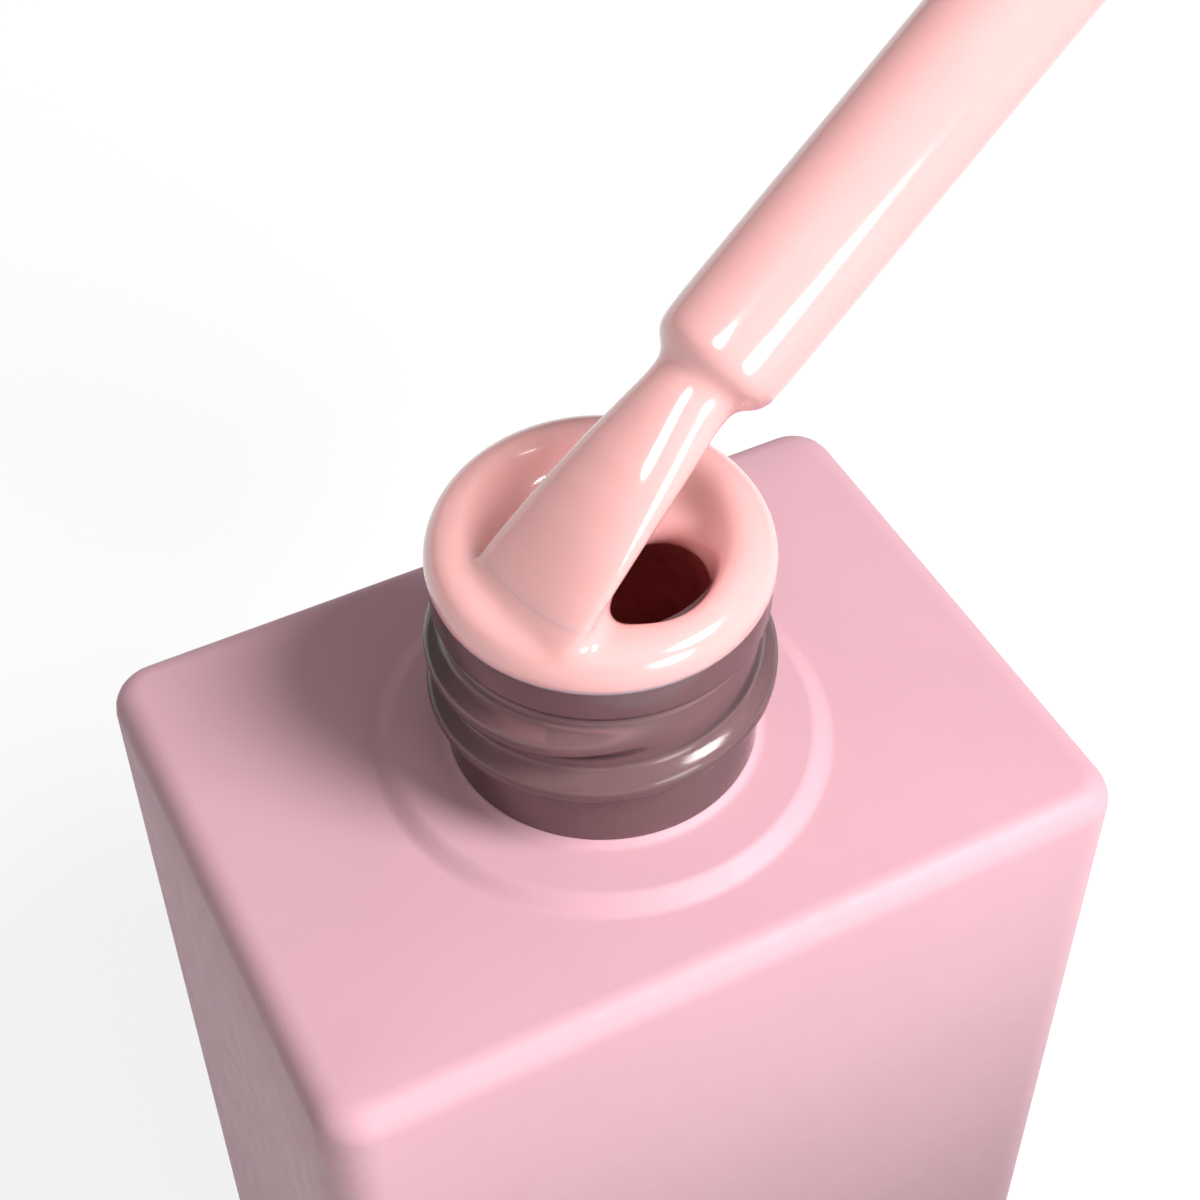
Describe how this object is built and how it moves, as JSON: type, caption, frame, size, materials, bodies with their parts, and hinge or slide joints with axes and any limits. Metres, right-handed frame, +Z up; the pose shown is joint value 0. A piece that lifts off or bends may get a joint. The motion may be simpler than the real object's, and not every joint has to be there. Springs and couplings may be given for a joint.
{
  "type": "nail polish bottle",
  "caption": "Square-shouldered gel polish bottle in matte pink lacquer, open, with its screw-cap brush lying on the polish-coated rim.",
  "frame": {"origin": "centre of the bottle's flat base", "axes": "+Z up along the axis of the neck, +X along the wide faces, -Y the front face"},
  "size_m": [0.0808, 0.0348, 0.1072],
  "materials": {
    "bottle_glass": "clear, slightly smoky",
    "pink_lacquer": "matte soft-touch lacquer",
    "gel_polish": "wet, glossy gel",
    "liner_foam": "soft white polyethylene",
    "cap_plastic": "moulded, satin",
    "stem_plastic": "moulded, satin",
    "bristle_nylon": "fine nylon filaments, soaked",
    "staple_brass": "plain",
    "cap_lacquer": "matte soft-touch lacquer"
  },
  "bodies": {
    "bottle": {"glass_bottle": "bottle_glass", "neck_thread": "bottle_glass", "lacquer_coat": "pink_lacquer", "polish_fill": "gel_polish", "rim_polish": "gel_polish"},
    "liner": {"cap_liner": "liner_foam"},
    "applicator": {"inner_cap": "cap_plastic", "cap_thread": "cap_plastic", "brush_stem": "stem_plastic", "bristles": "bristle_nylon", "tuft_staple": "staple_brass", "stem_polish": "gel_polish", "tuft_polish": "gel_polish"},
    "outer_cap": {"overcap": "cap_lacquer"}
  },
  "joints": [
    {"name": "applicator_lift", "type": "slide", "parent": "bottle", "child": "liner", "axis": [0.8266, 0.2092, 0.5225], "range_m": [0, 0.05]},
    {"name": "cap_spin", "type": "hinge", "parent": "liner", "child": "applicator", "pos_m": [0.0042, -0.00096, 0.06564], "axis": [0.8266, 0.2092, 0.5225], "continuous": true},
    {"name": "overcap_pull", "type": "slide", "parent": "applicator", "child": "outer_cap", "axis": [0.8266, 0.2092, 0.5225], "range_m": [0, 0.04]}
  ]
}
